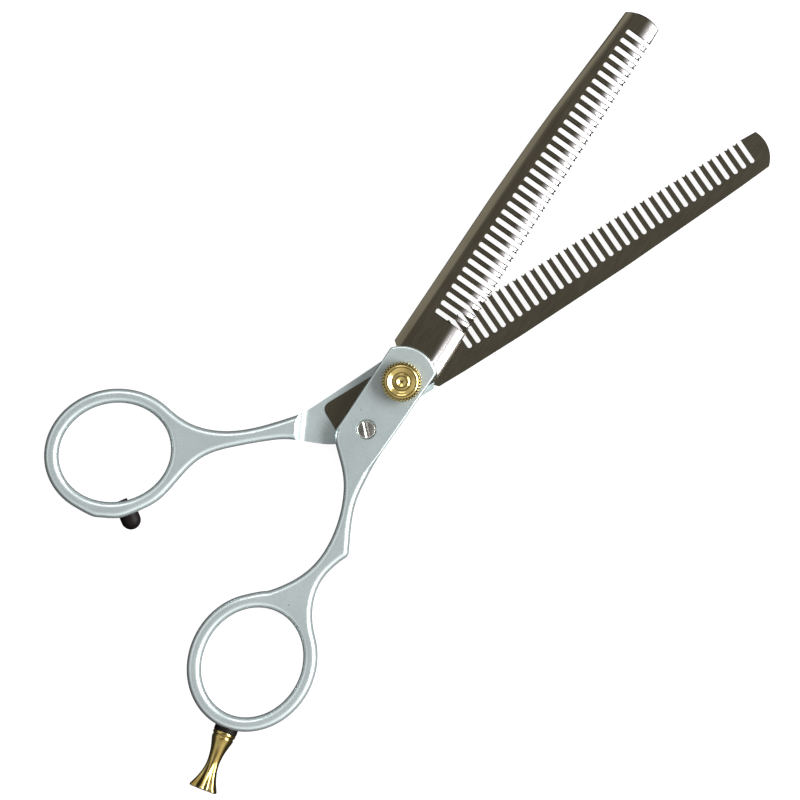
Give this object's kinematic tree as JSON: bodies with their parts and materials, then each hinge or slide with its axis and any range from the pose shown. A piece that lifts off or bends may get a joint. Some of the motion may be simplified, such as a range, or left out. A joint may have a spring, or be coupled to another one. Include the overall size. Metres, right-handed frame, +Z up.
{
  "type": "thinning shears",
  "caption": "Double-toothed hair thinning shears with screwed-on blades, a brass tension nut, a screw-in finger rest and a rubber stop.",
  "frame": {"origin": "on the pivot axis, level with the flat underside of the thumb handle", "axes": "+X along the finger blade to its tip, +Y to its left seen from above, +Z up through the tension nut"},
  "size_m": [0.1796, 0.0931, 0.0104],
  "materials": {
    "handle_paint": "satin blue-grey, smooth",
    "blade_steel": "dark satin ground steel",
    "bright_steel": "bright turned steel",
    "spring_steel": "plain spring steel",
    "brass": "polished turned brass",
    "bush_brass": "plain turned bronze",
    "black_rubber": "matte black",
    "glide_plastic": "matte white, slippery"
  },
  "bodies": {
    "finger_half": {"finger_handle": "handle_paint", "finger_blade": "blade_steel", "finger_blade_screw": "bright_steel", "finger_rest": "brass", "finger_rest_washer": "black_rubber", "pivot_bush": "bush_brass", "spring_washer": "spring_steel"},
    "thumb_half": {"thumb_handle": "handle_paint", "thumb_blade": "blade_steel", "thumb_blade_screw": "bright_steel", "bumper": "black_rubber", "pivot_bolt": "bright_steel", "glide_washer": "glide_plastic"},
    "thrust_washer": {"thrust_washer": "bright_steel"},
    "pivot_nut": {"pivot_nut": "brass"}
  },
  "joints": [
    {"name": "blade_pivot", "type": "hinge", "parent": "finger_half", "child": "thumb_half", "pos_m": [0, 0, 0.0036], "axis": [0, 0, 1], "range_deg": [-74, 21.2]},
    {"name": "washer_lift", "type": "slide", "parent": "thumb_half", "child": "thrust_washer", "axis": [0, 0, 1], "range_m": [-0.000125, 0.00025], "deforming": ["spring_washer"]},
    {"name": "nut_turn", "type": "hinge", "parent": "thrust_washer", "child": "pivot_nut", "pos_m": [0, 0, 0.009], "axis": [0, 0, 1], "range_deg": [-90, 180]}
  ],
  "couplings": [
    {"joint": "nut_turn", "follows": "washer_lift", "rad_per_m": 12566}
  ]
}
